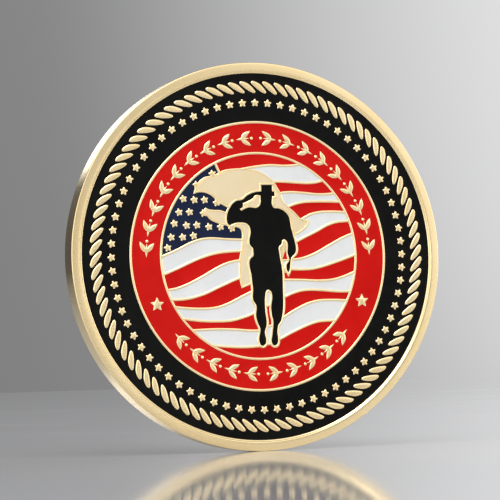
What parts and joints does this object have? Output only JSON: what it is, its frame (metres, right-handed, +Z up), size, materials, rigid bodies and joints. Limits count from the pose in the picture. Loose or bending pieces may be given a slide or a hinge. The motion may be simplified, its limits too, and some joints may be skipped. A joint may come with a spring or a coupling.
{
  "type": "challenge coin",
  "caption": "Round struck metal coin with a rope border, a starred band, a waving flag, an eagle head and a saluting figure in coloured soft enamel.",
  "frame": {"origin": "on the ground below the middle of the coin, which stands on its edge", "axes": "+Z up; the coin's axis runs along Y, and the obverse with the saluting figure faces -Y; +X is the viewer's right of the obverse"},
  "size_m": [0.0444, 0.003, 0.0444],
  "materials": {
    "gold_plate": "polished gold plate on a struck brass blank, softly brushed on the rim",
    "black_enamel": "glossy black soft enamel",
    "red_enamel": "glossy red soft enamel",
    "white_enamel": "glossy white soft enamel",
    "navy_enamel": "glossy navy soft enamel"
  },
  "bodies": {
    "root": {"struck_body": "gold_plate", "border_enamel": "black_enamel", "band_enamel": "red_enamel", "soldier_enamel": "black_enamel", "canton_enamel": "navy_enamel", "stripe_01_red_top": "red_enamel", "stripe_02_white_right": "white_enamel", "stripe_03_red_right": "red_enamel", "stripe_04_white_right": "white_enamel", "stripe_05_red_right": "red_enamel", "stripe_06_white_right": "white_enamel", "stripe_07_red_right": "red_enamel", "stripe_08_white_right": "white_enamel", "stripe_09_red_right": "red_enamel", "stripe_10_white_right": "white_enamel", "stripe_11_red_right": "red_enamel", "stripe_12_white_right": "white_enamel", "stripe_06_white_left": "white_enamel", "stripe_07_red_left": "red_enamel", "stripe_08_white_left": "white_enamel", "stripe_09_red_left": "red_enamel", "stripe_10_white_left": "white_enamel", "stripe_11_red_left": "red_enamel", "stripe_12_white_left": "white_enamel", "stripe_10_white_between_legs": "white_enamel", "stripe_11_red_between_legs": "red_enamel", "stripe_12_white_between_legs": "white_enamel", "stripe_07_red_inside_arm": "red_enamel", "stripe_08_white_inside_arm": "white_enamel", "stripe_13_red_bottom": "red_enamel", "medallion_enamel": "navy_enamel"}
  },
  "joints": []
}
